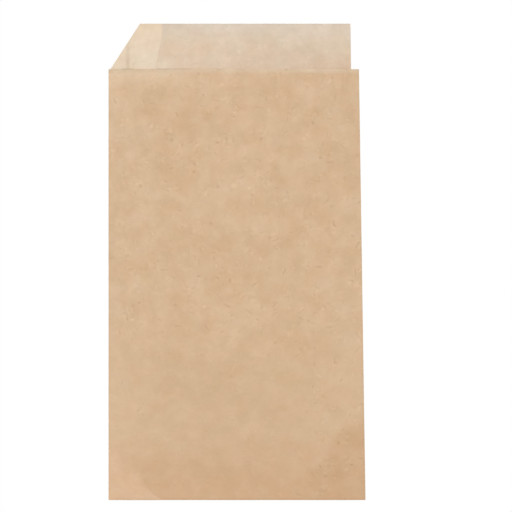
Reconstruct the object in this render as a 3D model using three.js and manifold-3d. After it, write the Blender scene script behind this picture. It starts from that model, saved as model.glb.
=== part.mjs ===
// A flat greaseproof crepe bag, lying on its back with the mouth towards +Y.
//
// It is one sheet of thin brown paper. The sheet is folded into a flat tube that is glued along a
// lap seam behind its left side, and the front's tongue is turned under at the bottom and glued to
// the back. At the mouth the back runs on past the front as a lip, with a mitred left corner and a
// right side set in from the crease. The front stands a little off the back, so the mouth gapes.
//
// Sizes are in millimetres. The origin is at the centre of the bag's outline, on the surface that
// it lies on. The front faces +Z.
import * as THREE from "three";
import { mergeVertices } from "three/addons/utils/BufferGeometryUtils.js";
import Module from "manifold-3d";

// The bag's outline, as it lies.
const BOTTOM_WIDTH = 130;
const MOUTH_WIDTH = 126.7;
const FRONT_LENGTH = 218;
const LIP_HEIGHT = 23;
const MITRE_START = 0.9; // from the left crease to the mitre's lower end, at the mouth
const MITRE_END = 15.9; // from the left crease to its upper end, at the lip's top edge
const LIP_INSET = 4; // from the right crease to the lip's right side

// The lap seam and the tongue.
const SEAM_FLAP = 25; // from the left crease to the flap's raw edge, inside the bag
const SEAM_LAP = 15.6; // how far the flap lies over the back panel
const TONGUE_LENGTH = 18;
const GLUE_MARGIN = 1.5; // the glue stops this far short of an edge

// The paper, and how it lies.
const PAPER = 0.06;
const LAYER_GAP = 0.04; // the air between two layers that lie on each other
const STEP_RUN = 3; // the paper comes down off a raw edge in this distance
const TONGUE_RUN = 8; // the back comes down off the tongue in this distance
const MOUTH_GAPE = 8; // how high the front's middle stands off the back
const GAPE_RUN = 80; // the front has risen that far at this distance from the bottom

// How finely the bent paper is faceted.
const FOLD_STEPS = 4;
const LAP_COLUMNS = 2;
const FRONT_COLUMNS = 14;
const TONGUE_ROWS = 2;
const GAPE_ROWS = 7;
const MOUTH_ROWS = 5;

// A layer that lies on another one is a pitch higher, and where the sheet folds back on itself,
// its middle runs round a half circle one pitch across.
const PITCH = PAPER + LAYER_GAP;
const CREASE_RADIUS = PITCH / 2;
const CREASE_INSET = CREASE_RADIUS + PAPER / 2; // from the outline to the flat paper
const BOTTOM_FOLD = 1.5 * PITCH + PAPER / 2; // the same at the bottom, round back and flap
const GLUE_BITE = PAPER / 4; // the glue soaks this far into the layer on each side

const HIDDEN_EDGE = SEAM_FLAP - SEAM_LAP; // from the left crease to the back panel's raw edge
const LENGTH = FRONT_LENGTH + LIP_HEIGHT;
const LEFT = -BOTTOM_WIDTH / 2;
const BOTTOM = -LENGTH / 2;

const UP = new THREE.Vector3(0, 0, 1);
const DOWN = new THREE.Vector3(0, 0, -1);

const { clamp, lerp, smoothstep } = THREE.MathUtils;

// Evenly spaced values past `from`, up to and with `to`.
function spread(from, to, steps) {
  return Array.from({ length: steps }, (_, i) => lerp(from, to, (i + 1) / steps));
}

// In the functions below, v is the distance up from the bag's bottom, and inset is the distance in
// from its left side.

// Width of the bag. Its right side leans, because the bag is narrower at the mouth.
function widthAt(v) {
  return lerp(BOTTOM_WIDTH, MOUTH_WIDTH, v / FRONT_LENGTH);
}

// Height of the back panel's middle. The panel lies on the tongue, and on the table past it.
function backHeight(v) {
  const onTongue = 1 - smoothstep(v, TONGUE_LENGTH, TONGUE_LENGTH + TONGUE_RUN);
  return PAPER / 2 + PITCH * onTongue;
}

// Height of the seam flap's middle. The flap steps up onto the back panel at its raw edge.
function flapHeight(inset, v) {
  const onBack = clamp((inset - HIDDEN_EDGE + STEP_RUN) / STEP_RUN, 0, 1);
  return backHeight(v) + PITCH * onBack;
}

// Height of the front's middle. It lies on the flap and the back, apart from the gape.
function frontHeight(inset, v) {
  const pastFlap = clamp((inset - SEAM_FLAP) / STEP_RUN, 0, 1);
  const below = lerp(flapHeight(inset, v), backHeight(v), pastFlap);
  const along = smoothstep(v, BOTTOM_FOLD, GAPE_RUN);
  const across = (inset - CREASE_INSET) / (widthAt(v) - 2 * CREASE_INSET);
  return below + PITCH + MOUTH_GAPE * along * Math.sin(Math.PI * across);
}

// A spot on the sheet: a point in the middle of the paper, and the direction its outside faces.
function spot(inset, v, z, outward) {
  return { middle: new THREE.Vector3(LEFT + inset, BOTTOM + v, z), outward };
}

// A spot on a fold, which runs from the flat paper's end round a half circle.
function onFold(inset, v, z, radius, outward) {
  const place = spot(inset, v, z, outward);
  place.middle.addScaledVector(outward, radius);
  return place;
}

// The angles of the spots inside a fold, from its upper side to its lower side.
function foldAngles() {
  return spread(0, Math.PI, FOLD_STEPS).slice(0, -1);
}

// A column of spots runs up each panel. Here are the four kinds.
function flapColumn(inset) {
  return { panel: "flap", at: (v) => spot(inset, v, flapHeight(inset, v), DOWN) };
}

function creaseColumn(side, angle) {
  const outward = new THREE.Vector3(side * Math.sin(angle), 0, Math.cos(angle));
  return {
    panel: "crease",
    at(v) {
      const inset = side < 0 ? CREASE_INSET : widthAt(v) - CREASE_INSET;
      return onFold(inset, v, backHeight(v) + CREASE_RADIUS, CREASE_RADIUS, outward);
    },
  };
}

function frontColumn(insetAt) {
  return {
    panel: "front",
    at: (v) => spot(insetAt(v), v, frontHeight(insetAt(v), v), UP),
    // The tongue turns round the lower ends of the back and the flap, and lies flat under them.
    turned(angle, v) {
      const inset = insetAt(v);
      const radius = (frontHeight(inset, BOTTOM_FOLD) - PAPER / 2) / 2;
      const outward = new THREE.Vector3(0, -Math.sin(angle), Math.cos(angle));
      return onFold(inset, v, PAPER / 2 + radius, radius, outward);
    },
  };
}

function backColumn(rightInset, share, panel = "back") {
  return {
    panel,
    at(v) {
      const inset = lerp(widthAt(v) - rightInset, HIDDEN_EDGE, share);
      return spot(inset, v, backHeight(v), DOWN);
    },
  };
}

// All columns, round the tube: from the flap's raw edge over the left crease, across the front and
// over the right crease to the back panel's raw edge.
function sheetColumns() {
  const beforeLap = [CREASE_INSET, HIDDEN_EDGE - STEP_RUN, HIDDEN_EDGE];
  const overFlap = [...beforeLap, ...spread(HIDDEN_EDGE, SEAM_FLAP, LAP_COLUMNS)];
  const pastFlap = SEAM_FLAP + STEP_RUN;
  const overBack = spread(0, 1, FRONT_COLUMNS).map((share) => {
    return (v) => lerp(pastFlap, widthAt(v) - CREASE_INSET, share);
  });
  const besideFlap = [...overFlap, pastFlap].map((inset) => () => inset);
  return [
    ...overFlap.toReversed().map(flapColumn),
    ...foldAngles().toReversed().map((angle) => creaseColumn(-1, angle)),
    ...[...besideFlap, ...overBack].map(frontColumn),
    ...foldAngles().map((angle) => creaseColumn(1, angle)),
    backColumn(CREASE_INSET, 0, "crease"),
    ...[0, 0.5, 1].map((share) => backColumn(LIP_INSET, share)),
  ];
}

// All rows: along the tongue, round the bottom fold, up the tube and up the lip.
function sheetRows() {
  const tongue = [TONGUE_LENGTH, BOTTOM_FOLD].map((v) => ({ part: "tongue", angle: Math.PI, v }));
  const fold = foldAngles().toReversed().map((angle) => {
    return { part: "tongue", angle, v: BOTTOM_FOLD };
  });
  const offTongue = TONGUE_LENGTH + TONGUE_RUN;
  const heights = [
    BOTTOM_FOLD,
    ...spread(BOTTOM_FOLD, TONGUE_LENGTH, TONGUE_ROWS),
    ...spread(TONGUE_LENGTH, offTongue, TONGUE_ROWS),
    ...spread(offTongue, GAPE_RUN, GAPE_ROWS),
    ...spread(GAPE_RUN, FRONT_LENGTH, MOUTH_ROWS),
  ];
  const tube = heights.map((v) => ({ part: "tube", v }));
  return [...tongue, ...fold, ...tube, { part: "lip", v: LENGTH }];
}

// Where the grid of columns and rows is paper. Only the front runs on into the tongue, and only
// the flap and the back run on into the lip.
function isPaper(left, right, low, high) {
  if (low.part === "tongue") return left.panel === "front" && right.panel === "front";
  if (high.part !== "lip") return true;
  return left.panel === right.panel && ["flap", "back"].includes(left.panel);
}

// The thick sheet over a grid of spots: an outside, an inside, and a rim round every edge.
function thickSheet(columns, rows, thickness, isFilled) {
  const positions = [];
  const index = [];
  const corners = new Map();

  const corner = (i, j, side) => {
    const key = `${i},${j},${side}`;
    if (!corners.has(key)) {
      const { v, part, angle } = rows[j];
      const { middle, outward } = part === "tongue" ? columns[i].turned(angle, v) : columns[i].at(v);
      corners.set(key, positions.length / 3);
      positions.push(...middle.addScaledVector(outward, (side * thickness) / 2));
    }
    return corners.get(key);
  };
  const quad = (a, b, c, d) => index.push(a, b, c, a, c, d);
  const has = (i, j) => {
    if (i < 0 || j < 0 || i > columns.length - 2 || j > rows.length - 2) return false;
    return isFilled(columns[i], columns[i + 1], rows[j], rows[j + 1]);
  };

  for (let i = 0; i < columns.length - 1; i++) {
    for (let j = 0; j < rows.length - 1; j++) {
      if (!has(i, j)) continue;
      const ring = [[i, j], [i + 1, j], [i + 1, j + 1], [i, j + 1]];
      const beyond = [[i, j - 1], [i + 1, j], [i, j + 1], [i - 1, j]];
      quad(...ring.map(([p, q]) => corner(p, q, 1)));
      quad(...ring.toReversed().map(([p, q]) => corner(p, q, -1)));
      beyond.forEach((cell, k) => {
        if (has(...cell)) return;
        const from = ring[k];
        const to = ring[(k + 1) % ring.length];
        quad(corner(...to, 1), corner(...from, 1), corner(...from, -1), corner(...to, -1));
      });
    }
  }
  const geometry = new THREE.BufferGeometry();
  geometry.setAttribute("position", new THREE.Float32BufferAttribute(positions, 3));
  geometry.setIndex(index);
  return geometry;
}

// A film of glue between two layers of paper, from one side to the other at each height.
function glueFilm(sides, heights, middleHeight) {
  const columns = sides.map((insetAt) => ({ at: (v) => spot(insetAt(v), v, middleHeight(v), UP) }));
  const rows = heights.map((v) => ({ part: "glue", v }));
  return thickSheet(columns, rows, LAYER_GAP + 2 * GLUE_BITE, () => true);
}

function seamGlue() {
  const sides = [() => HIDDEN_EDGE + GLUE_MARGIN, () => SEAM_FLAP - GLUE_MARGIN];
  const tube = sheetRows().filter(({ part, v }) => part === "tube" && v > BOTTOM_FOLD);
  const heights = [BOTTOM_FOLD + GLUE_MARGIN, ...tube.map(({ v }) => v), LENGTH - GLUE_MARGIN];
  return glueFilm(sides, heights, (v) => backHeight(v) + PITCH / 2);
}

function tongueGlue() {
  const sides = [() => HIDDEN_EDGE + GLUE_MARGIN, (v) => widthAt(v) - CREASE_INSET - GLUE_MARGIN];
  const heights = [BOTTOM_FOLD + GLUE_MARGIN, TONGUE_LENGTH - GLUE_MARGIN];
  return glueFilm(sides, heights, (v) => backHeight(v) - PITCH / 2);
}

// What the mitre takes off the lip's left corner, through both layers. It runs past the top edge.
function mitreCut() {
  const mouth = BOTTOM + FRONT_LENGTH;
  const outline = new THREE.Shape();
  outline.moveTo(LEFT, mouth);
  outline.lineTo(LEFT + MITRE_START, mouth);
  outline.lineTo(LEFT + 2 * MITRE_END - MITRE_START, mouth + 2 * LIP_HEIGHT);
  outline.lineTo(LEFT, mouth + 2 * LIP_HEIGHT);
  const cut = new THREE.ExtrudeGeometry(outline, { depth: 4 * PITCH, bevelEnabled: false });
  return cut.translate(0, 0, -PITCH);
}

const wasm = await Module();
wasm.setup();

function toSolid(geometry) {
  geometry.deleteAttribute("normal");
  geometry.deleteAttribute("uv");
  const { attributes, index } = mergeVertices(geometry, 1e-5);
  const mesh = new wasm.Mesh({
    numProp: 3,
    vertProperties: new Float32Array(attributes.position.array),
    triVerts: new Uint32Array(index.array),
  });
  return new wasm.Manifold(mesh);
}

function toGeometry(solid) {
  const mesh = solid.getMesh();
  const geometry = new THREE.BufferGeometry();
  geometry.setAttribute("position", new THREE.BufferAttribute(mesh.vertProperties, 3));
  geometry.setIndex(new THREE.BufferAttribute(mesh.triVerts, 1));
  geometry.computeVertexNormals();
  return geometry;
}

function foldedBag() {
  const sheet = thickSheet(sheetColumns(), sheetRows(), PAPER, isPaper);
  const glued = wasm.Manifold.union([sheet, seamGlue(), tongueGlue()].map(toSolid));
  return toGeometry(glued.subtract(toSolid(mitreCut())));
}

const brownPaper = new THREE.MeshStandardMaterial({
  color: new THREE.Color().setRGB(0.835, 0.71, 0.576, THREE.SRGBColorSpace),
  roughness: 0.7,
  metalness: 0,
});

const bag = new THREE.Mesh(foldedBag(), brownPaper);
bag.name = "crepe_bag";

const part = new THREE.Group();
part.add(bag);
export default part;
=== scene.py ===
import math
from collections import namedtuple

import bmesh
import bpy
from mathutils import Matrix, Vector, noise


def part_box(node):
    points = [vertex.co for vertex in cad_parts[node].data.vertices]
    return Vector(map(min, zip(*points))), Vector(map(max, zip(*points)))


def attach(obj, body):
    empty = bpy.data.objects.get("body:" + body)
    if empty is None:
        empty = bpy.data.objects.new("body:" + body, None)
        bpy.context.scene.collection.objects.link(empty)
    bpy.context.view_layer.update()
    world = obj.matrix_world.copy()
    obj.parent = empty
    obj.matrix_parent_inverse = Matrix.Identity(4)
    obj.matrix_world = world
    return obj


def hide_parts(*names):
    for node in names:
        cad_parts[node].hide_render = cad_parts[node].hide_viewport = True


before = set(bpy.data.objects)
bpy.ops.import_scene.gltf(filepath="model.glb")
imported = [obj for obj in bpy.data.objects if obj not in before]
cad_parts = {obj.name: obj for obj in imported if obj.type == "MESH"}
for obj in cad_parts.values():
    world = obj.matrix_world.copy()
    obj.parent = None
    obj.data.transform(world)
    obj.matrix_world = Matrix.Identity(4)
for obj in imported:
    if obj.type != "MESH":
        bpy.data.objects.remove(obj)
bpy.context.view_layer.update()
low_corner, high_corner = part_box("crepe_bag")

# The outline. Its overall size and place are those of the crepe_bag part in model.glb.
LEFT = low_corner.x
BOTTOM = low_corner.y
BOTTOM_WIDTH = high_corner.x - low_corner.x
LENGTH = high_corner.y - low_corner.y
LIP_HEIGHT = 0.023
FRONT_LENGTH = LENGTH - LIP_HEIGHT
MOUTH_WIDTH = 0.1267
MITRE_START = 0.0009
MITRE_END = 0.0159
LIP_INSET = 0.004

# The lap seam and the tongue.
SEAM_FLAP = 0.025
HIDDEN_EDGE = 0.0094
TONGUE_LENGTH = 0.018
# The flap's raw edge slants in the lip: from v, to v, and how far in it is at each.
FLAP_SLANT = (FRONT_LENGTH - 0.004, FRONT_LENGTH + 0.020, SEAM_FLAP - 0.0016, SEAM_FLAP + 0.0020)

# The paper, and how it lies.
PAPER = 0.00006
LAYER_GAP = 0.00004
STEP_RUN = 0.003
TONGUE_RUN = 0.008
MOUTH_GAPE = 0.008
GAPE_RUN = 0.080
PITCH = PAPER + LAYER_GAP
CREASE_RADIUS = PITCH / 2
CREASE_INSET = CREASE_RADIUS + PAPER / 2
BOTTOM_FOLD = 1.5 * PITCH + PAPER / 2

# How the real sheet departs from an even one. Each wave has a length across the bag, a length up it
# and a number that picks its pattern.
UNDULATION = 0.0003
UNDULATION_WAVE = (0.034, 0.045, 2.3)
FRONT_WRINKLE = 0.0006
WRINKLE_WAVE = (0.021, 0.032, 7.1)
LIP_CURL = 0.0007
MOUTH_CURL = 0.0012
MOUTH_CURL_RUN = 0.006
# The mouth's edge curls over the seam: between these insets it starts, and between these it ends.
CURL_STARTS = (0.002, 0.012)
CURL_ENDS = (0.026, 0.045)

CELL = 0.0014  # the grid's spacing
TOUCHING = 1e-6
FOLD_STEPS = 4
SHARP_EDGE = math.radians(30)

# What the photograph shows, as sRGB colours from 0 to 255.
FRONT_BROWN = (209.9, 177.7, 142.5)
# The next colour is painted highlight, where the front's mouth edge and left fold turn up to the
# light.
MOUTH_HIGHLIGHT = (227.1, 199.1, 167.1)
MOUTH_RIM = (216.3, 191.2, 162.2)
BAND_BROWN = (204.7, 166.5, 129.1)
RIGHT_CORNER_BROWN = (200.8, 163.2, 125.3)
LEFT_CORNER_LIGHT = (214.2, 177.6, 142.4)
FLAP_LOW = (227.2, 211.9, 189.1)
FLAP_HIGH = (226.3, 202.6, 174.5)
HIDDEN_EDGE_LINE = (217.2, 195.6, 169.1)
LIP_CREAM_LEFT = (220.3, 196.5, 170.3)
LIP_CREAM_RIGHT = (215.9, 194.2, 169.4)
LIP_LOW_RIGHT = (212.9, 186.8, 159.2)
LIP_TOP = (214.4, 197.2, 176.7)
WHITE = (255, 255, 255)
WARM_TINT = (1.009, 0.995, 0.996, 1)
COOL_TINT = (0.991, 1.005, 1.002, 1)

# The camera. The photograph is 512 pixels wide, and its middle lies beside the bag's.
PHOTO_WIDTH = 512 * 0.000506
PHOTO_CENTRE = (0.0096, 0.0030)
LENS = 300
SENSOR = 36
SIGHT_END = 20

# The light and the floor.
SKY_STRENGTH = 0.415
SUN_STRENGTH = 2.23
SUN_SPREAD = math.radians(28)
SUN_TILT = (math.radians(-14), math.radians(-1), 0)
FLOOR_HALF = 3.0
FLOOR_DROP = 0.0001
FLOOR_COLOUR = (0.985, 0.985, 0.985, 1)
FLOOR_SEEN_WHITE = 0.75

UP = Vector((0, 0, 1))
DOWN = Vector((0, 0, -1))
Spot = namedtuple("Spot", "middle outward")
Column = namedtuple("Column", "panel at turned", defaults=[None])
Row = namedtuple("Row", "part v angle", defaults=[0.0])
Stroke = namedtuple("Stroke", "cell length width share shift", defaults=[(0, 0, 0)])

# The pulp's marks: the size of cell that each has to itself, its length and width, the share of
# cells that hold one, and a shift that keeps the kinds apart.
LONG_HAIR = Stroke(0.0105, 0.0046, 0.00056, 0.60)
SHORT_HAIR = Stroke(0.0070, 0.0024, 0.00056, 0.55, (0.41, 0.23, 0))
SPECK = Stroke(0.0085, 0.0019, 0.00095, 0.55, (0.83, 0.59, 0))
FLECK = Stroke(0.0075, 0.0024, 0.00075, 0.55, (0.27, 0.71, 0))
CROWD_SHIFT = (0.57, 0.11, 0)
CLUMP_SHIFT = (0.13, 0.37, 0)
DENSE_SHIFT = (0.31, 0.17, 0.05)


def clamp(value, low=0.0, high=1.0):
    return max(low, min(high, value))


def lerp(a, b, share):
    return a + (b - a) * share


def smoothstep(value, low, high):
    t = clamp((value - low) / (high - low))
    return t * t * (3 - 2 * t)


def spread(start, end, steps):
    """Evenly spaced values past start, up to and with end."""
    return [lerp(start, end, (i + 1) / steps) for i in range(steps)]


def fill(start, end):
    """The same, a cell apart."""
    return spread(start, end, max(1, round((end - start) / CELL)))


# The folded sheet. v is the distance up from the bag's bottom, and inset is the distance in from
# its left side.


def width_at(v):
    return lerp(BOTTOM_WIDTH, MOUTH_WIDTH, v / FRONT_LENGTH)


def wave_at(inset, v, wave):
    across, along, pattern = wave
    return noise.noise(Vector((inset / across, v / along, pattern)))


def undulation(inset, v):
    """How far all layers stand off the table: paper doesn't lie quite flat."""
    curl = LIP_CURL * smoothstep(v, FRONT_LENGTH, LENGTH) * smoothstep(inset, 0, SEAM_FLAP)
    return UNDULATION * clamp(0.5 + wave_at(inset, v, UNDULATION_WAVE)) + curl


def back_height(v):
    return PAPER / 2 + PITCH * (1 - smoothstep(v, TONGUE_LENGTH, TONGUE_LENGTH + TONGUE_RUN))


def flap_height(inset, v):
    return back_height(v) + PITCH * clamp((inset - HIDDEN_EDGE + STEP_RUN) / STEP_RUN)


def front_height(inset, v):
    past_flap = clamp((inset - SEAM_FLAP) / STEP_RUN)
    below = lerp(flap_height(inset, v), back_height(v), past_flap)
    along = smoothstep(v, BOTTOM_FOLD, GAPE_RUN)
    across = clamp((inset - CREASE_INSET) / (width_at(v) - 2 * CREASE_INSET))
    gape = along * math.sin(math.pi * across)
    wrinkle = wave_at(inset, v, WRINKLE_WAVE)
    at_seam = smoothstep(inset, *CURL_STARTS) * (1 - smoothstep(inset, *CURL_ENDS))
    curl = MOUTH_CURL * at_seam * math.exp((v - FRONT_LENGTH) / MOUTH_CURL_RUN)
    return below + PITCH + MOUTH_GAPE * gape + FRONT_WRINKLE * gape * wrinkle + curl


def spot(inset, v, z, outward):
    lift = undulation(inset, v)
    return Spot(Vector((LEFT + inset, BOTTOM + v, z + lift)), outward)


def on_fold(inset, v, z, radius, outward):
    place = spot(inset, v, z, outward)
    return Spot(place.middle + radius * outward, outward)


def fold_angles():
    return spread(0, math.pi, FOLD_STEPS)[:-1]


def flap_column(inset):
    start, end, narrow, wide = FLAP_SLANT
    share = clamp((inset - HIDDEN_EDGE) / (SEAM_FLAP - HIDDEN_EDGE))

    def at(v):
        raw_edge = lerp(narrow, wide, smoothstep(v, start, end))
        moved = inset + share * (raw_edge - SEAM_FLAP)
        return spot(moved, v, flap_height(moved, v), DOWN)

    return Column("flap", at)


def crease_column(side, angle):
    outward = Vector((side * math.sin(angle), 0, math.cos(angle)))

    def at(v):
        inset = CREASE_INSET if side < 0 else width_at(v) - CREASE_INSET
        return on_fold(inset, v, back_height(v) + CREASE_RADIUS, CREASE_RADIUS, outward)

    return Column("crease", at)


def front_column(inset_at):
    def at(v):
        return spot(inset_at(v), v, front_height(inset_at(v), v), UP)

    def turned(angle, v):
        inset = inset_at(v)
        radius = (front_height(inset, BOTTOM_FOLD) - PAPER / 2) / 2
        outward = Vector((0, -math.sin(angle), math.cos(angle)))
        return on_fold(inset, v, PAPER / 2 + radius, radius, outward)

    return Column("front", at, turned)


def back_column(right_inset, share, panel="back"):
    def at(v):
        inset = lerp(width_at(v) - right_inset, HIDDEN_EDGE, share)
        return spot(inset, v, back_height(v), DOWN)

    return Column(panel, at)


def sheet_columns():
    step_up = HIDDEN_EDGE - STEP_RUN
    over_flap = [CREASE_INSET, *fill(CREASE_INSET, step_up)]
    over_flap += [*fill(step_up, HIDDEN_EDGE), *fill(HIDDEN_EDGE, SEAM_FLAP)]
    past_flap = SEAM_FLAP + STEP_RUN
    shares = spread(0, 1, round((BOTTOM_WIDTH - past_flap) / CELL))
    front = [lambda v, i=i: i for i in over_flap + fill(SEAM_FLAP, past_flap)]
    front += [lambda v, s=s: lerp(past_flap, width_at(v) - CREASE_INSET, s) for s in shares]
    back_shares = [0, *spread(0, 1, round((BOTTOM_WIDTH - HIDDEN_EDGE) / CELL))]
    return [
        *[flap_column(inset) for inset in reversed(over_flap)],
        *[crease_column(-1, angle) for angle in reversed(fold_angles())],
        *[front_column(inset_at) for inset_at in front],
        *[crease_column(1, angle) for angle in fold_angles()],
        back_column(CREASE_INSET, 0, "crease"),
        *[back_column(LIP_INSET, share) for share in back_shares],
    ]


def sheet_rows():
    under = [BOTTOM_FOLD, *fill(BOTTOM_FOLD, TONGUE_LENGTH)]
    tongue = [Row("tongue", v, math.pi) for v in reversed(under)]
    fold = [Row("tongue", BOTTOM_FOLD, angle) for angle in reversed(fold_angles())]
    off_tongue = TONGUE_LENGTH + TONGUE_RUN
    tube = [*under, *fill(TONGUE_LENGTH, off_tongue), *fill(off_tongue, FRONT_LENGTH)]
    lip = fill(FRONT_LENGTH, LENGTH)
    return [*tongue, *fold, *[Row("tube", v) for v in tube], *[Row("lip", v) for v in lip]]


def is_paper(left, right, low, high):
    if low.part == "tongue":
        return left.panel == right.panel == "front"
    if high.part != "lip":
        return True
    return left.panel == right.panel and left.panel in ("flap", "back")


def thick_sheet(columns, rows):
    """The sheet's vertices and faces, and for each vertex its panel and whether it is inside."""
    vertices, faces, panels, insides, numbers = [], [], [], [], {}

    def corner(i, j, side):
        key = (i, j, side)
        if key not in numbers:
            column, row = columns[i], rows[j]
            turned = row.part == "tongue"
            place = column.turned(row.angle, row.v) if turned else column.at(row.v)
            numbers[key] = len(vertices)
            vertices.append(place.middle + side * PAPER / 2 * place.outward)
            panels.append("tongue" if turned else column.panel)
            insides.append(side < 0)
        return numbers[key]

    def has(i, j):
        if not (0 <= i < len(columns) - 1 and 0 <= j < len(rows) - 1):
            return False
        return is_paper(columns[i], columns[i + 1], rows[j], rows[j + 1])

    for i in range(len(columns) - 1):
        for j in range(len(rows) - 1):
            if not has(i, j):
                continue
            ring = [(i, j), (i + 1, j), (i + 1, j + 1), (i, j + 1)]
            beyond = [(i, j - 1), (i + 1, j), (i, j + 1), (i - 1, j)]
            faces.append([corner(p, q, 1) for p, q in ring])
            faces.append([corner(p, q, -1) for p, q in reversed(ring)])
            for k, cell in enumerate(beyond):
                if has(*cell):
                    continue
                a, b = ring[k], ring[(k + 1) % 4]
                faces.append([corner(*b, 1), corner(*a, 1), corner(*a, -1), corner(*b, -1)])
    return vertices, faces, panels, insides


def cut_mitre(edit):
    """The lip's left corner is cut off along one line, through both of its layers. The line starts
    at the mouth, a little in from the fold, so a short raw edge is left there too."""
    start = Vector((LEFT + MITRE_START, BOTTOM + FRONT_LENGTH, 0))
    outward = Vector((-LIP_HEIGHT, MITRE_END - MITRE_START, 0)).normalized()

    def lip_faces():
        return [face for face in edit.faces if face.calc_center_median().y > start.y + TOUCHING]

    lip = lip_faces()
    edges = dict.fromkeys(edge for face in lip for edge in face.edges)
    corners = dict.fromkeys(corner for face in lip for corner in face.verts)
    pieces = [*lip, *edges, *corners]
    bmesh.ops.bisect_plane(edit, geom=pieces, plane_co=start, plane_no=outward)
    off = [face for face in lip_faces() if (face.calc_center_median() - start).dot(outward) > 0]
    bmesh.ops.delete(edit, geom=off, context="FACES")

    ends = dict.fromkeys(end for edge in edit.edges if edge.is_boundary for end in edge.verts)
    at_mouth = [end for end in ends if abs(end.co.y - start.y) < TOUCHING]
    bmesh.ops.contextual_create(edit, geom=at_mouth)
    bmesh.ops.holes_fill(edit, edges=[edge for edge in edit.edges if edge.is_boundary])
    bmesh.ops.recalc_face_normals(edit, faces=edit.faces[:])


def folded_bag():
    vertices, faces, panels, insides = thick_sheet(sheet_columns(), sheet_rows())
    mesh = bpy.data.meshes.new("paper_bag")
    mesh.from_pydata(vertices, [], faces)
    marks = {
        "on_front": [panel == "front" for panel in panels],
        "on_flap": [panel == "flap" for panel in panels],
        "on_inside": insides,
    }
    for name, values in marks.items():
        mark = mesh.attributes.new(name, "FLOAT", "POINT")
        mark.data.foreach_set("value", [float(value) for value in values])
    edit = bmesh.new()
    edit.from_mesh(mesh)
    cut_mitre(edit)
    edit.to_mesh(mesh)
    edit.free()
    mesh.shade_smooth()
    mesh.set_sharp_from_angle(angle=SHARP_EDGE)
    bag = bpy.data.objects.new("paper_bag", mesh)
    bpy.context.collection.objects.link(bag)
    return bag


# The paper's material. Its colours and marks are set by place, so most numbers below are where one
# look turns into another.


def linear(colour):
    """An sRGB colour from 0 to 255, as the linear colour that a shader takes."""
    shares = [channel / 255 for channel in colour]
    return (*[s / 12.92 if s <= 0.04045 else ((s + 0.055) / 1.055) ** 2.4 for s in shares], 1)


class Shader:
    """A material's nodes. Each method but node and finish gives the output of what it adds."""

    def __init__(self, name):
        self.material = bpy.data.materials.new(name)
        self.material.use_nodes = True
        self.tree = self.material.node_tree
        self.tree.nodes.clear()

    def node(self, kind, inputs, **settings):
        node = self.tree.nodes.new(kind)
        for name, value in settings.items():
            setattr(node, name, value)
        for key, value in inputs.items():
            if isinstance(value, bpy.types.NodeSocket):
                self.tree.links.new(value, node.inputs[key])
            else:
                node.inputs[key].default_value = value
        return node

    def add(self, kind, inputs=None, output=0, **settings):
        return self.node(kind, inputs or {}, **settings).outputs[output]

    def finish(self, surface):
        end = self.tree.nodes.new("ShaderNodeOutputMaterial")
        self.tree.links.new(surface, end.inputs["Surface"])
        return self.material

    def math(self, operation, *values):
        return self.add("ShaderNodeMath", dict(enumerate(values)), operation=operation)

    def vector(self, operation, *values):
        return self.add("ShaderNodeVectorMath", dict(enumerate(values)), operation=operation)

    def sum(self, first, *others):
        for other in others:
            first = self.math("ADD", first, other)
        return first

    def product(self, first, *others):
        for other in others:
            first = self.math("MULTIPLY", first, other)
        return first

    def distance(self, value, place):
        return self.math("ABSOLUTE", self.sum(value, -place))

    def ramp(self, value, start, end, low=0.0, high=1.0):
        """low at start and high at end, smooth between them."""
        inputs = dict(enumerate([value, start, end, low, high]))
        return self.add("ShaderNodeMapRange", inputs, interpolation_type="SMOOTHSTEP")

    def band(self, value, start, full, fading, end):
        """1 from full to fading, and 0 before start and past end."""
        return self.product(self.ramp(value, start, full), self.ramp(value, end, fading))

    def mix(self, share, a, b):
        inputs = {0: share, 6: a, 7: b}
        return self.add("ShaderNodeMix", inputs, output=2, data_type="RGBA")

    def scaled(self, colour, factor):
        inputs = {0: colour[:3] if isinstance(colour, tuple) else colour, "Scale": factor}
        return self.add("ShaderNodeVectorMath", inputs, operation="SCALE")

    def noise(self, place, size, detail=2.0, distortion=0.0):
        inputs = {"Vector": place, "Scale": 1 / size, "Detail": detail, "Distortion": distortion}
        return self.add("ShaderNodeTexNoise", inputs)

    def mark(self, name):
        return self.add("ShaderNodeAttribute", output="Fac", attribute_name=name)


def darker_bottom(paper, inset, v):
    """The tongue and the folded edges below make the front's bottom darker, less at the left."""
    top, full = 0.041, 0.006
    left_end, left_share = 0.032, 0.6
    from_left = paper.ramp(inset, 0.0, left_end, left_share, 1.0)
    share = paper.product(paper.ramp(v, top, full), from_left)
    return paper.mix(share, linear(FRONT_BROWN), linear(BAND_BROWN))


def right_corner(paper, colour, inset, v):
    """The bottom right is darker still, beyond a slanting edge that is sharper higher up."""
    start, slant = 0.098, 0.58
    sharp, soft, sharp_from = 0.005, 0.028, 0.022
    before, past, most = 0.8, 0.2, 0.9
    top, full = 0.046, 0.032
    beyond = paper.sum(inset, paper.product(v, -slant), -start)
    blur = paper.ramp(v, sharp_from, 0.0, sharp, soft)
    slanting = paper.ramp(paper.math("DIVIDE", beyond, blur), -before, past)
    share = paper.product(paper.ramp(v, top, full), slanting, most)
    return paper.mix(share, colour, linear(RIGHT_CORNER_BROWN))


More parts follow.
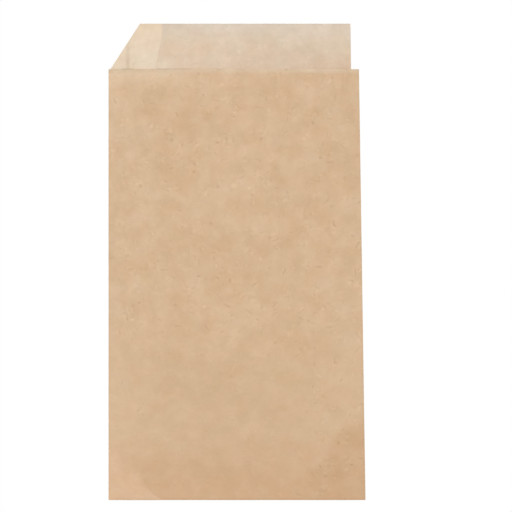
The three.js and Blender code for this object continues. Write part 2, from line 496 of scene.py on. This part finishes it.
def left_corner(paper, colour, place, inset, v):
    """The bottom left is paler, where the tongue is doubled below, up to an uneven slanting edge
    that is sharp at its right."""
    width, height = 0.0265, 0.0245
    patch, uneven, edge_at = 0.008, 0.20, 1.11
    sharp, sharp_at, soft, soft_at = 0.03, 0.95, 0.55, 0.25
    across = paper.math("DIVIDE", inset, width)
    up = paper.math("DIVIDE", v, height)
    ragged = paper.product(paper.noise(place, patch), uneven)
    blur = paper.ramp(across, sharp_at, soft_at, sharp, soft)
    past = paper.sum(across, up, ragged, -edge_at)
    share = paper.ramp(paper.math("DIVIDE", past, blur), 0.5, -0.5)
    return paper.mix(share, colour, linear(LEFT_CORNER_LIGHT))


def lit_mouth(paper, colour, inset, v):
    """Painted highlight where the mouth's edge turns up to the light, most over the seam, and where
    the left fold does too; and a paler rim along the cut edge.
    """
    curl_start, curl_end = FRONT_LENGTH - 0.016, FRONT_LENGTH + 0.001
    seam_end, seam_full = 0.050, 0.028
    fold_start = 0.150
    fold_end, fold_full, fold_share = 0.024, 0.002, 0.38
    rim_start, rim_full, rim_share = FRONT_LENGTH - 0.0032, FRONT_LENGTH - 0.0006, 0.85
    curl = paper.ramp(v, curl_start, curl_end)
    over_seam = paper.ramp(inset, seam_end, seam_full)
    colour = paper.mix(paper.product(curl, curl, over_seam), colour, linear(MOUTH_HIGHLIGHT))
    up_fold = paper.ramp(v, fold_start, FRONT_LENGTH)
    at_fold = paper.ramp(inset, fold_end, fold_full, 0.0, fold_share)
    colour = paper.mix(paper.product(up_fold, up_fold, at_fold), colour, linear(MOUTH_HIGHLIGHT))
    rim = paper.product(paper.ramp(v, rim_start, rim_full), rim_share)
    return paper.mix(rim, colour, linear(MOUTH_RIM))


def front_colour(paper, place, inset, v):
    """The outside of the front: darker towards the bottom, with what shows through it from below,
    and with painted highlight at the mouth.
    """
    colour = darker_bottom(paper, inset, v)
    colour = right_corner(paper, colour, inset, v)
    colour = left_corner(paper, colour, place, inset, v)
    return lit_mouth(paper, colour, inset, v)


def lip_colour(paper, inset, v):
    """The back's inside, as the lip shows it: palest beside the flap, and greyer at the top, with a
    thin painted shade along the top cut edge and a painted shadow beside the flap's raw edge.
    """
    right_end = 0.115
    pale_top, pale_full, pale_end, pale_share = 0.010, 0.001, 0.048, 0.6
    low_top, low_start, low_end = 0.016, 0.085, 0.112
    grey_start = 0.012
    rim_start, rim_full, rim_shade = 0.0009, 0.0002, 0.96
    shade_run, flap_shade = 0.004, 0.985
    to_right = paper.ramp(inset, SEAM_FLAP, right_end)
    lip = paper.mix(to_right, linear(LIP_CREAM_LEFT), linear(LIP_CREAM_RIGHT))
    low = paper.ramp(v, FRONT_LENGTH + pale_top, FRONT_LENGTH + pale_full)
    by_flap = paper.product(low, paper.ramp(inset, pale_end, SEAM_FLAP, 0.0, pale_share))
    lip = paper.mix(by_flap, lip, linear(FLAP_LOW))
    low = paper.ramp(v, FRONT_LENGTH + low_top, FRONT_LENGTH)
    low_right = paper.product(low, paper.ramp(inset, low_start, low_end))
    lip = paper.mix(low_right, lip, linear(LIP_LOW_RIGHT))
    to_top = paper.ramp(v, FRONT_LENGTH + grey_start, LENGTH)
    lip = paper.mix(to_top, lip, linear(LIP_TOP))
    # A thin painted shade along the lip's top cut edge.
    rim = paper.ramp(v, LENGTH - rim_start, LENGTH - rim_full, 1.0, rim_shade)
    # A painted shadow beside the flap's raw edge, which slants across the lip.
    past_flap = paper.math("SUBTRACT", inset, paper.ramp(v, *FLAP_SLANT))
    shadow_beside_flap = paper.ramp(past_flap, 0.0, shade_run, flap_shade, 1.0)
    return paper.scaled(paper.scaled(lip, rim), shadow_beside_flap)


def flap_colour(paper, inset, v):
    """The seam flap's inside, with the line of the hidden raw edge that shows through it."""
    low_top, low_full = 0.0165, 0.0015
    left, right, left_share = 0.0125, 0.018, 0.5
    line_shift, line_end, line_full = 0.0003, 0.0016, 0.0002
    low = paper.ramp(v, FRONT_LENGTH + low_top, FRONT_LENGTH + low_full)
    low = paper.product(low, paper.ramp(inset, left, right, left_share, 1.0))
    flap = paper.mix(low, linear(FLAP_HIGH), linear(FLAP_LOW))
    off_edge = paper.distance(inset, HIDDEN_EDGE + line_shift)
    hidden_edge = paper.ramp(off_edge, line_end, line_full)
    return paper.mix(hidden_edge, flap, linear(HIDDEN_EDGE_LINE))


def back_colour(paper, inset, v):
    """The outside of the back, with the shade along the raw edges of the lap and of the tongue."""
    shade_run, edge_run, layer_run = 0.0007, 0.0001, 0.0002
    edge_shade, layer_shade = -0.14, -0.03
    tongue_run, under_tongue = 0.0005, 0.3
    lap_before, lap_past = 0.0004, 0.0008
    beside_lap = paper.product(
        paper.ramp(inset, HIDDEN_EDGE - shade_run, HIDDEN_EDGE),
        paper.ramp(inset, HIDDEN_EDGE + edge_run, HIDDEN_EDGE),
        paper.ramp(v, TONGUE_LENGTH, TONGUE_LENGTH + tongue_run, under_tongue, 1.0),
    )
    beside_tongue = paper.product(
        paper.ramp(v, TONGUE_LENGTH + shade_run, TONGUE_LENGTH),
        paper.ramp(v, TONGUE_LENGTH - edge_run, TONGUE_LENGTH),
    )
    on_lap = paper.ramp(inset, SEAM_FLAP + lap_past, SEAM_FLAP - lap_before)
    on_tongue = paper.ramp(v, TONGUE_LENGTH, TONGUE_LENGTH - layer_run)
    edges = paper.product(paper.sum(beside_lap, beside_tongue), edge_shade)
    layers = paper.product(paper.math("MAXIMUM", on_lap, on_tongue), layer_shade)
    return paper.scaled(linear(FRONT_BROWN), paper.sum(edges, layers, 1.0))


def mouth_line(paper, inset, v):
    """The thin shade at the front's cut edge, in the two stretches where it stands off the lip."""
    line_end, line_full = 0.0006, 0.0001
    on_flap = (0.006, 0.0075, 0.012, 0.0135)
    on_back = (0.0235, 0.025, 0.040, 0.0445)
    near = paper.ramp(paper.distance(v, FRONT_LENGTH), line_end, line_full)
    stretches = paper.sum(paper.band(inset, *on_flap), paper.band(inset, *on_back))
    return paper.product(near, stretches)


def patches(paper, place, size, strength, detail=1):
    """Soft unevenness about zero, in patches of one size."""
    lowest, highest = 0.25, 0.75
    return paper.ramp(paper.noise(place, size, detail), lowest, highest, -strength, strength)


def strokes(paper, place, kind):
    """Short bent hairs, at most one in each cell of a scattered grid, as 1 at the hair, a little
    below 0 beside it, and 0 elsewhere."""
    beside, beside_end, paler = 1.3 * kind.width, 3.0 * kind.width, -0.3
    fading, end, most_bend = 0.25 * kind.length, 0.5 * kind.length, 0.5 / kind.length
    thinnest, thickest = 1.5, 0.7
    faintest, darkest = 1 - kind.share, 1 - 0.3 * kind.share
    grid = paper.node("ShaderNodeTexVoronoi", {0: place, "Scale": 1 / kind.cell})
    chance = paper.node("ShaderNodeSeparateColor", {0: grid.outputs["Color"]}).outputs
    away = paper.vector("SUBTRACT", place, grid.outputs["Position"])
    turn = {"Vector": away, "Angle": paper.product(chance["Red"], 2 * math.pi)}
    turned = paper.add("ShaderNodeVectorRotate", turn, rotation_type="Z_AXIS")
    parts = paper.node("ShaderNodeSeparateXYZ", {0: turned}).outputs
    bend = paper.ramp(chance["Green"], 0, 1, -most_bend, most_bend)
    bow = paper.product(parts["X"], parts["X"], bend)
    off = paper.math("ABSOLUTE", paper.sum(parts["Y"], bow))
    off = paper.product(off, paper.ramp(chance["Green"], 0, 1, thinnest, thickest))
    hair = paper.ramp(off, beside, 0.0, paler, 1.0)
    fade = paper.ramp(off, beside_end, beside)
    along = paper.ramp(paper.math("ABSOLUTE", parts["X"]), end, fading)
    strength = paper.ramp(chance["Blue"], faintest, darkest)
    return paper.product(hair, fade, along, strength)


def pulp(paper, place, inset, v):
    """The paper's dark hairs and specks and its pale flecks, fewer low down and inside."""
    kink, kink_depth = 0.0016, 0.0011
    long_share, short_share, speck_share, fleck_share = 0.65, 0.55, 0.75, -0.65
    crowd_size, few_at, many_at, fewest, most = 0.0110, 0.36, 0.64, 0.45, 1.45
    clump_size, clump_start, clump_full = 0.0070, 0.54, 0.70
    flake_size, pale_at, dark_at, palest, darkest = 0.0020, 0.28, 0.72, -0.5, 0.45
    flat = paper.vector("MULTIPLY", place, (1, 1, 0))
    turbulence = paper.node("ShaderNodeTexNoise", {"Vector": flat, "Scale": 1 / kink})
    depth = (kink_depth, kink_depth, 0)
    crooked = paper.vector("MULTIPLY_ADD", turbulence.outputs["Color"], depth, flat)

    def moved(shift):
        return paper.vector("ADD", crooked, shift)

    def marks_of(kind, share):
        return paper.product(strokes(paper, moved(kind.shift), kind), share)

    hairs = paper.sum(marks_of(LONG_HAIR, long_share), marks_of(SHORT_HAIR, short_share))
    spots = paper.sum(marks_of(SPECK, speck_share), marks_of(FLECK, fleck_share))
    crowd = paper.noise(moved(CROWD_SHIFT), crowd_size, detail=1)
    crowd = paper.ramp(crowd, few_at, many_at, fewest, most)
    clumps = paper.noise(moved(CLUMP_SHIFT), clump_size, detail=1)
    clumps = paper.ramp(clumps, clump_start, clump_full)
    flakes = paper.noise(crooked, flake_size, detail=1)
    flakes = paper.ramp(flakes, pale_at, dark_at, palest, darkest)
    marks = paper.product(paper.sum(hairs, spots), crowd)
    marks = paper.sum(marks, paper.product(clumps, flakes))
    return paper.product(marks, fewer_marks(paper, inset, v))


def fewer_marks(paper, inset, v):
    """The share of marks that shows: fewest at the front's lower left, and half of them inside."""
    low_top, low_full, left_end, left_full = 0.100, 0.060, 0.115, 0.090
    most, least, inside_share = 0.95, 0.35, 0.5
    low_left = paper.product(
        paper.ramp(v, low_top, low_full), paper.ramp(inset, left_end, left_full)
    )
    inside = paper.ramp(paper.mark("on_inside"), 0, 1, 1.0, inside_share)
    return paper.product(paper.ramp(low_left, 0, 1, most, least), inside)


def paper_colour(paper, place, inset, v):
    """The sheet's colour by place, before its unevenness."""
    outside = paper.mix(
        paper.mark("on_front"),
        back_colour(paper, inset, v),
        front_colour(paper, place, inset, v),
    )
    inside = paper.mix(
        paper.mark("on_flap"), lip_colour(paper, inset, v), flap_colour(paper, inset, v)
    )
    return paper.mix(paper.mark("on_inside"), outside, inside)


def denser(paper, colour, place, hairs, inset, v):
    """Denser pulp, as in its hairs, is both darker and browner. The front's middle is darkened the
    same way as painted shade, against the extra light on the top of its arch.
    """
    side_end, middle_full, middle_shade_share = 0.058, 0.025, 0.055
    low_end, high_full = 0.020, 0.075
    hair_share = 0.07
    moved = paper.vector("ADD", place, DENSE_SHIFT)
    broad = patches(paper, moved, size=0.022, strength=0.024)
    small = patches(paper, moved, size=0.009, strength=0.060, detail=2)
    dense = paper.product(paper.sum(broad, small), smoother_low(paper, v))
    # Painted shade on the front's middle, against the light on the top of its arch; it fades out
    # low down, where the arch flattens.
    off_middle = paper.distance(inset, BOTTOM_WIDTH / 2)
    middle = paper.ramp(off_middle, side_end, middle_full, 0, middle_shade_share)
    middle = paper.product(middle, paper.mark("on_front"), paper.ramp(v, low_end, high_full))
    density = paper.sum(dense, paper.product(hairs, hair_share), middle, 1.0)
    return paper.add("ShaderNodeGamma", {"Color": colour, "Gamma": density})


def grained(paper, colour, place, hairs, inset, v):
    """Grain of four sizes, the hairs' own darkness, and the thin shade at the mouth."""
    hair_shade, mouth_shade = -0.085, -0.2
    grain = paper.sum(
        patches(paper, place, size=0.022, strength=0.008),
        patches(paper, place, size=0.0055, strength=0.024, detail=2),
        patches(paper, place, size=0.0024, strength=0.013),
        patches(paper, place, size=0.0011, strength=0.006),
    )
    grain = paper.product(grain, smoother_low(paper, v))
    beside_mouth = paper.sum(paper.mark("on_front"), paper.mark("on_inside"))
    at_mouth = paper.product(mouth_line(paper, inset, v), beside_mouth, mouth_shade)
    shade = paper.sum(paper.product(hairs, hair_shade), at_mouth)
    return paper.scaled(colour, paper.sum(grain, shade, 1.0))


def smoother_low(paper, v):
    """How strong the unevenness is: the paper looks smoother towards the bottom."""
    low_end, high_end = 0.02, 0.17
    least, most = 0.7, 1.1
    return paper.ramp(v, low_end, high_end, least, most)


def brown_paper():
    """Thin brown paper, matt with a slight grease-proof gloss."""
    tint_size, warm_at, cool_at = 0.010, 0.35, 0.65
    gloss_size, glossy_at, matt_at, glossiest, mattest = 0.007, 0.3, 0.7, 0.5, 0.62
    crinkle_size, hair_height, bump_strength, bump_height = 0.0034, 0.4, 0.6, 0.00025
    specular = 0.35
    paper = Shader("brown_paper")
    place = paper.add("ShaderNodeTexCoord", output="Object")
    parts = paper.node("ShaderNodeSeparateXYZ", {0: place}).outputs
    inset = paper.sum(parts["X"], -LEFT)
    v = paper.sum(parts["Y"], -BOTTOM)

    hairs = pulp(paper, place, inset, v)
    colour = paper_colour(paper, place, inset, v)
    colour = denser(paper, colour, place, hairs, inset, v)
    colour = grained(paper, colour, place, hairs, inset, v)
    hue = paper.ramp(paper.noise(place, tint_size, detail=2), warm_at, cool_at)
    colour = paper.vector("MULTIPLY", colour, paper.mix(hue, WARM_TINT, COOL_TINT))

    crinkle = paper.noise(place, crinkle_size, detail=4, distortion=0.4)
    height = paper.sum(crinkle, paper.product(hairs, hair_height))
    bumps = {"Height": height, "Strength": bump_strength, "Distance": bump_height}
    gloss = paper.noise(place, gloss_size)
    gloss = paper.ramp(gloss, glossy_at, matt_at, glossiest, mattest)
    shading = {"Base Color": colour, "Roughness": gloss, "Specular IOR Level": specular}
    shading["Normal"] = paper.add("ShaderNodeBump", bumps)
    return paper.finish(paper.add("ShaderNodeBsdfPrincipled", shading))


# The floor, the light and the camera.


def seen_white(floor, under, share):
    """Mixes in plain white for the camera, and where gloss shows the surroundings."""
    path = floor.tree.nodes.new("ShaderNodeLightPath")
    seen = floor.math("MAXIMUM", path.outputs["Is Camera Ray"], path.outputs["Is Glossy Ray"])
    seen = floor.math("MAXIMUM", seen, path.outputs["Is Transmission Ray"])
    white = floor.add("ShaderNodeEmission", {"Color": linear(WHITE)})
    return floor.add("ShaderNodeMixShader", {0: floor.product(seen, share), 1: under, 2: white})


def white_floor():
    mesh = bpy.data.meshes.new("floor")
    corners = [(-1, -1), (1, -1), (1, 1), (-1, 1)]
    places = [(x * FLOOR_HALF, y * FLOOR_HALF, -FLOOR_DROP) for x, y in corners]
    mesh.from_pydata(places, [], [(0, 1, 2, 3)])
    floor = bpy.data.objects.new("floor", mesh)
    bpy.context.collection.objects.link(floor)
    shader = Shader("white_floor")
    matt = shader.add("ShaderNodeBsdfDiffuse", {"Color": FLOOR_COLOUR})
    mesh.materials.append(shader.finish(seen_white(shader, matt, FLOOR_SEEN_WHITE)))
    return floor


def white_world():
    """Even light from all round, which the camera sees as plain white."""
    world = bpy.data.worlds.new("studio")
    world.use_nodes = True
    bpy.context.scene.world = world
    nodes, links = world.node_tree.nodes, world.node_tree.links
    nodes.clear()
    path = nodes.new("ShaderNodeLightPath")
    background = nodes.new("ShaderNodeBackground")
    output = nodes.new("ShaderNodeOutputWorld")
    level = nodes.new("ShaderNodeMapRange")
    level.inputs["To Min"].default_value = SKY_STRENGTH
    level.inputs["To Max"].default_value = 1.0
    links.new(path.outputs["Is Camera Ray"], level.inputs["Value"])
    links.new(level.outputs["Result"], background.inputs["Strength"])
    links.new(background.outputs["Background"], output.inputs["Surface"])


def key_light():
    """A wide soft light overhead, a little towards the mouth, as from a studio's softbox."""
    light = bpy.data.lights.new("softbox", "SUN")
    light.energy = SUN_STRENGTH
    light.angle = SUN_SPREAD
    lamp = bpy.data.objects.new("softbox", light)
    lamp.rotation_euler = SUN_TILT
    bpy.context.collection.objects.link(lamp)


def camera():
    """Straight above the bag, far enough away that nothing shows larger for being higher."""
    lens = bpy.data.cameras.new("camera")
    lens.lens = LENS
    lens.sensor_width = SENSOR
    lens.clip_end = SIGHT_END
    eye = bpy.data.objects.new("camera", lens)
    eye.location = (*PHOTO_CENTRE, PHOTO_WIDTH * LENS / SENSOR)
    bpy.context.collection.objects.link(eye)
    bpy.context.scene.camera = eye


camera()
bag = folded_bag()
bag.data.materials.append(brown_paper())
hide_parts("crepe_bag")
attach(bag, "root")

white_floor()
white_world()
key_light()
bpy.context.scene.view_settings.view_transform = "Standard"
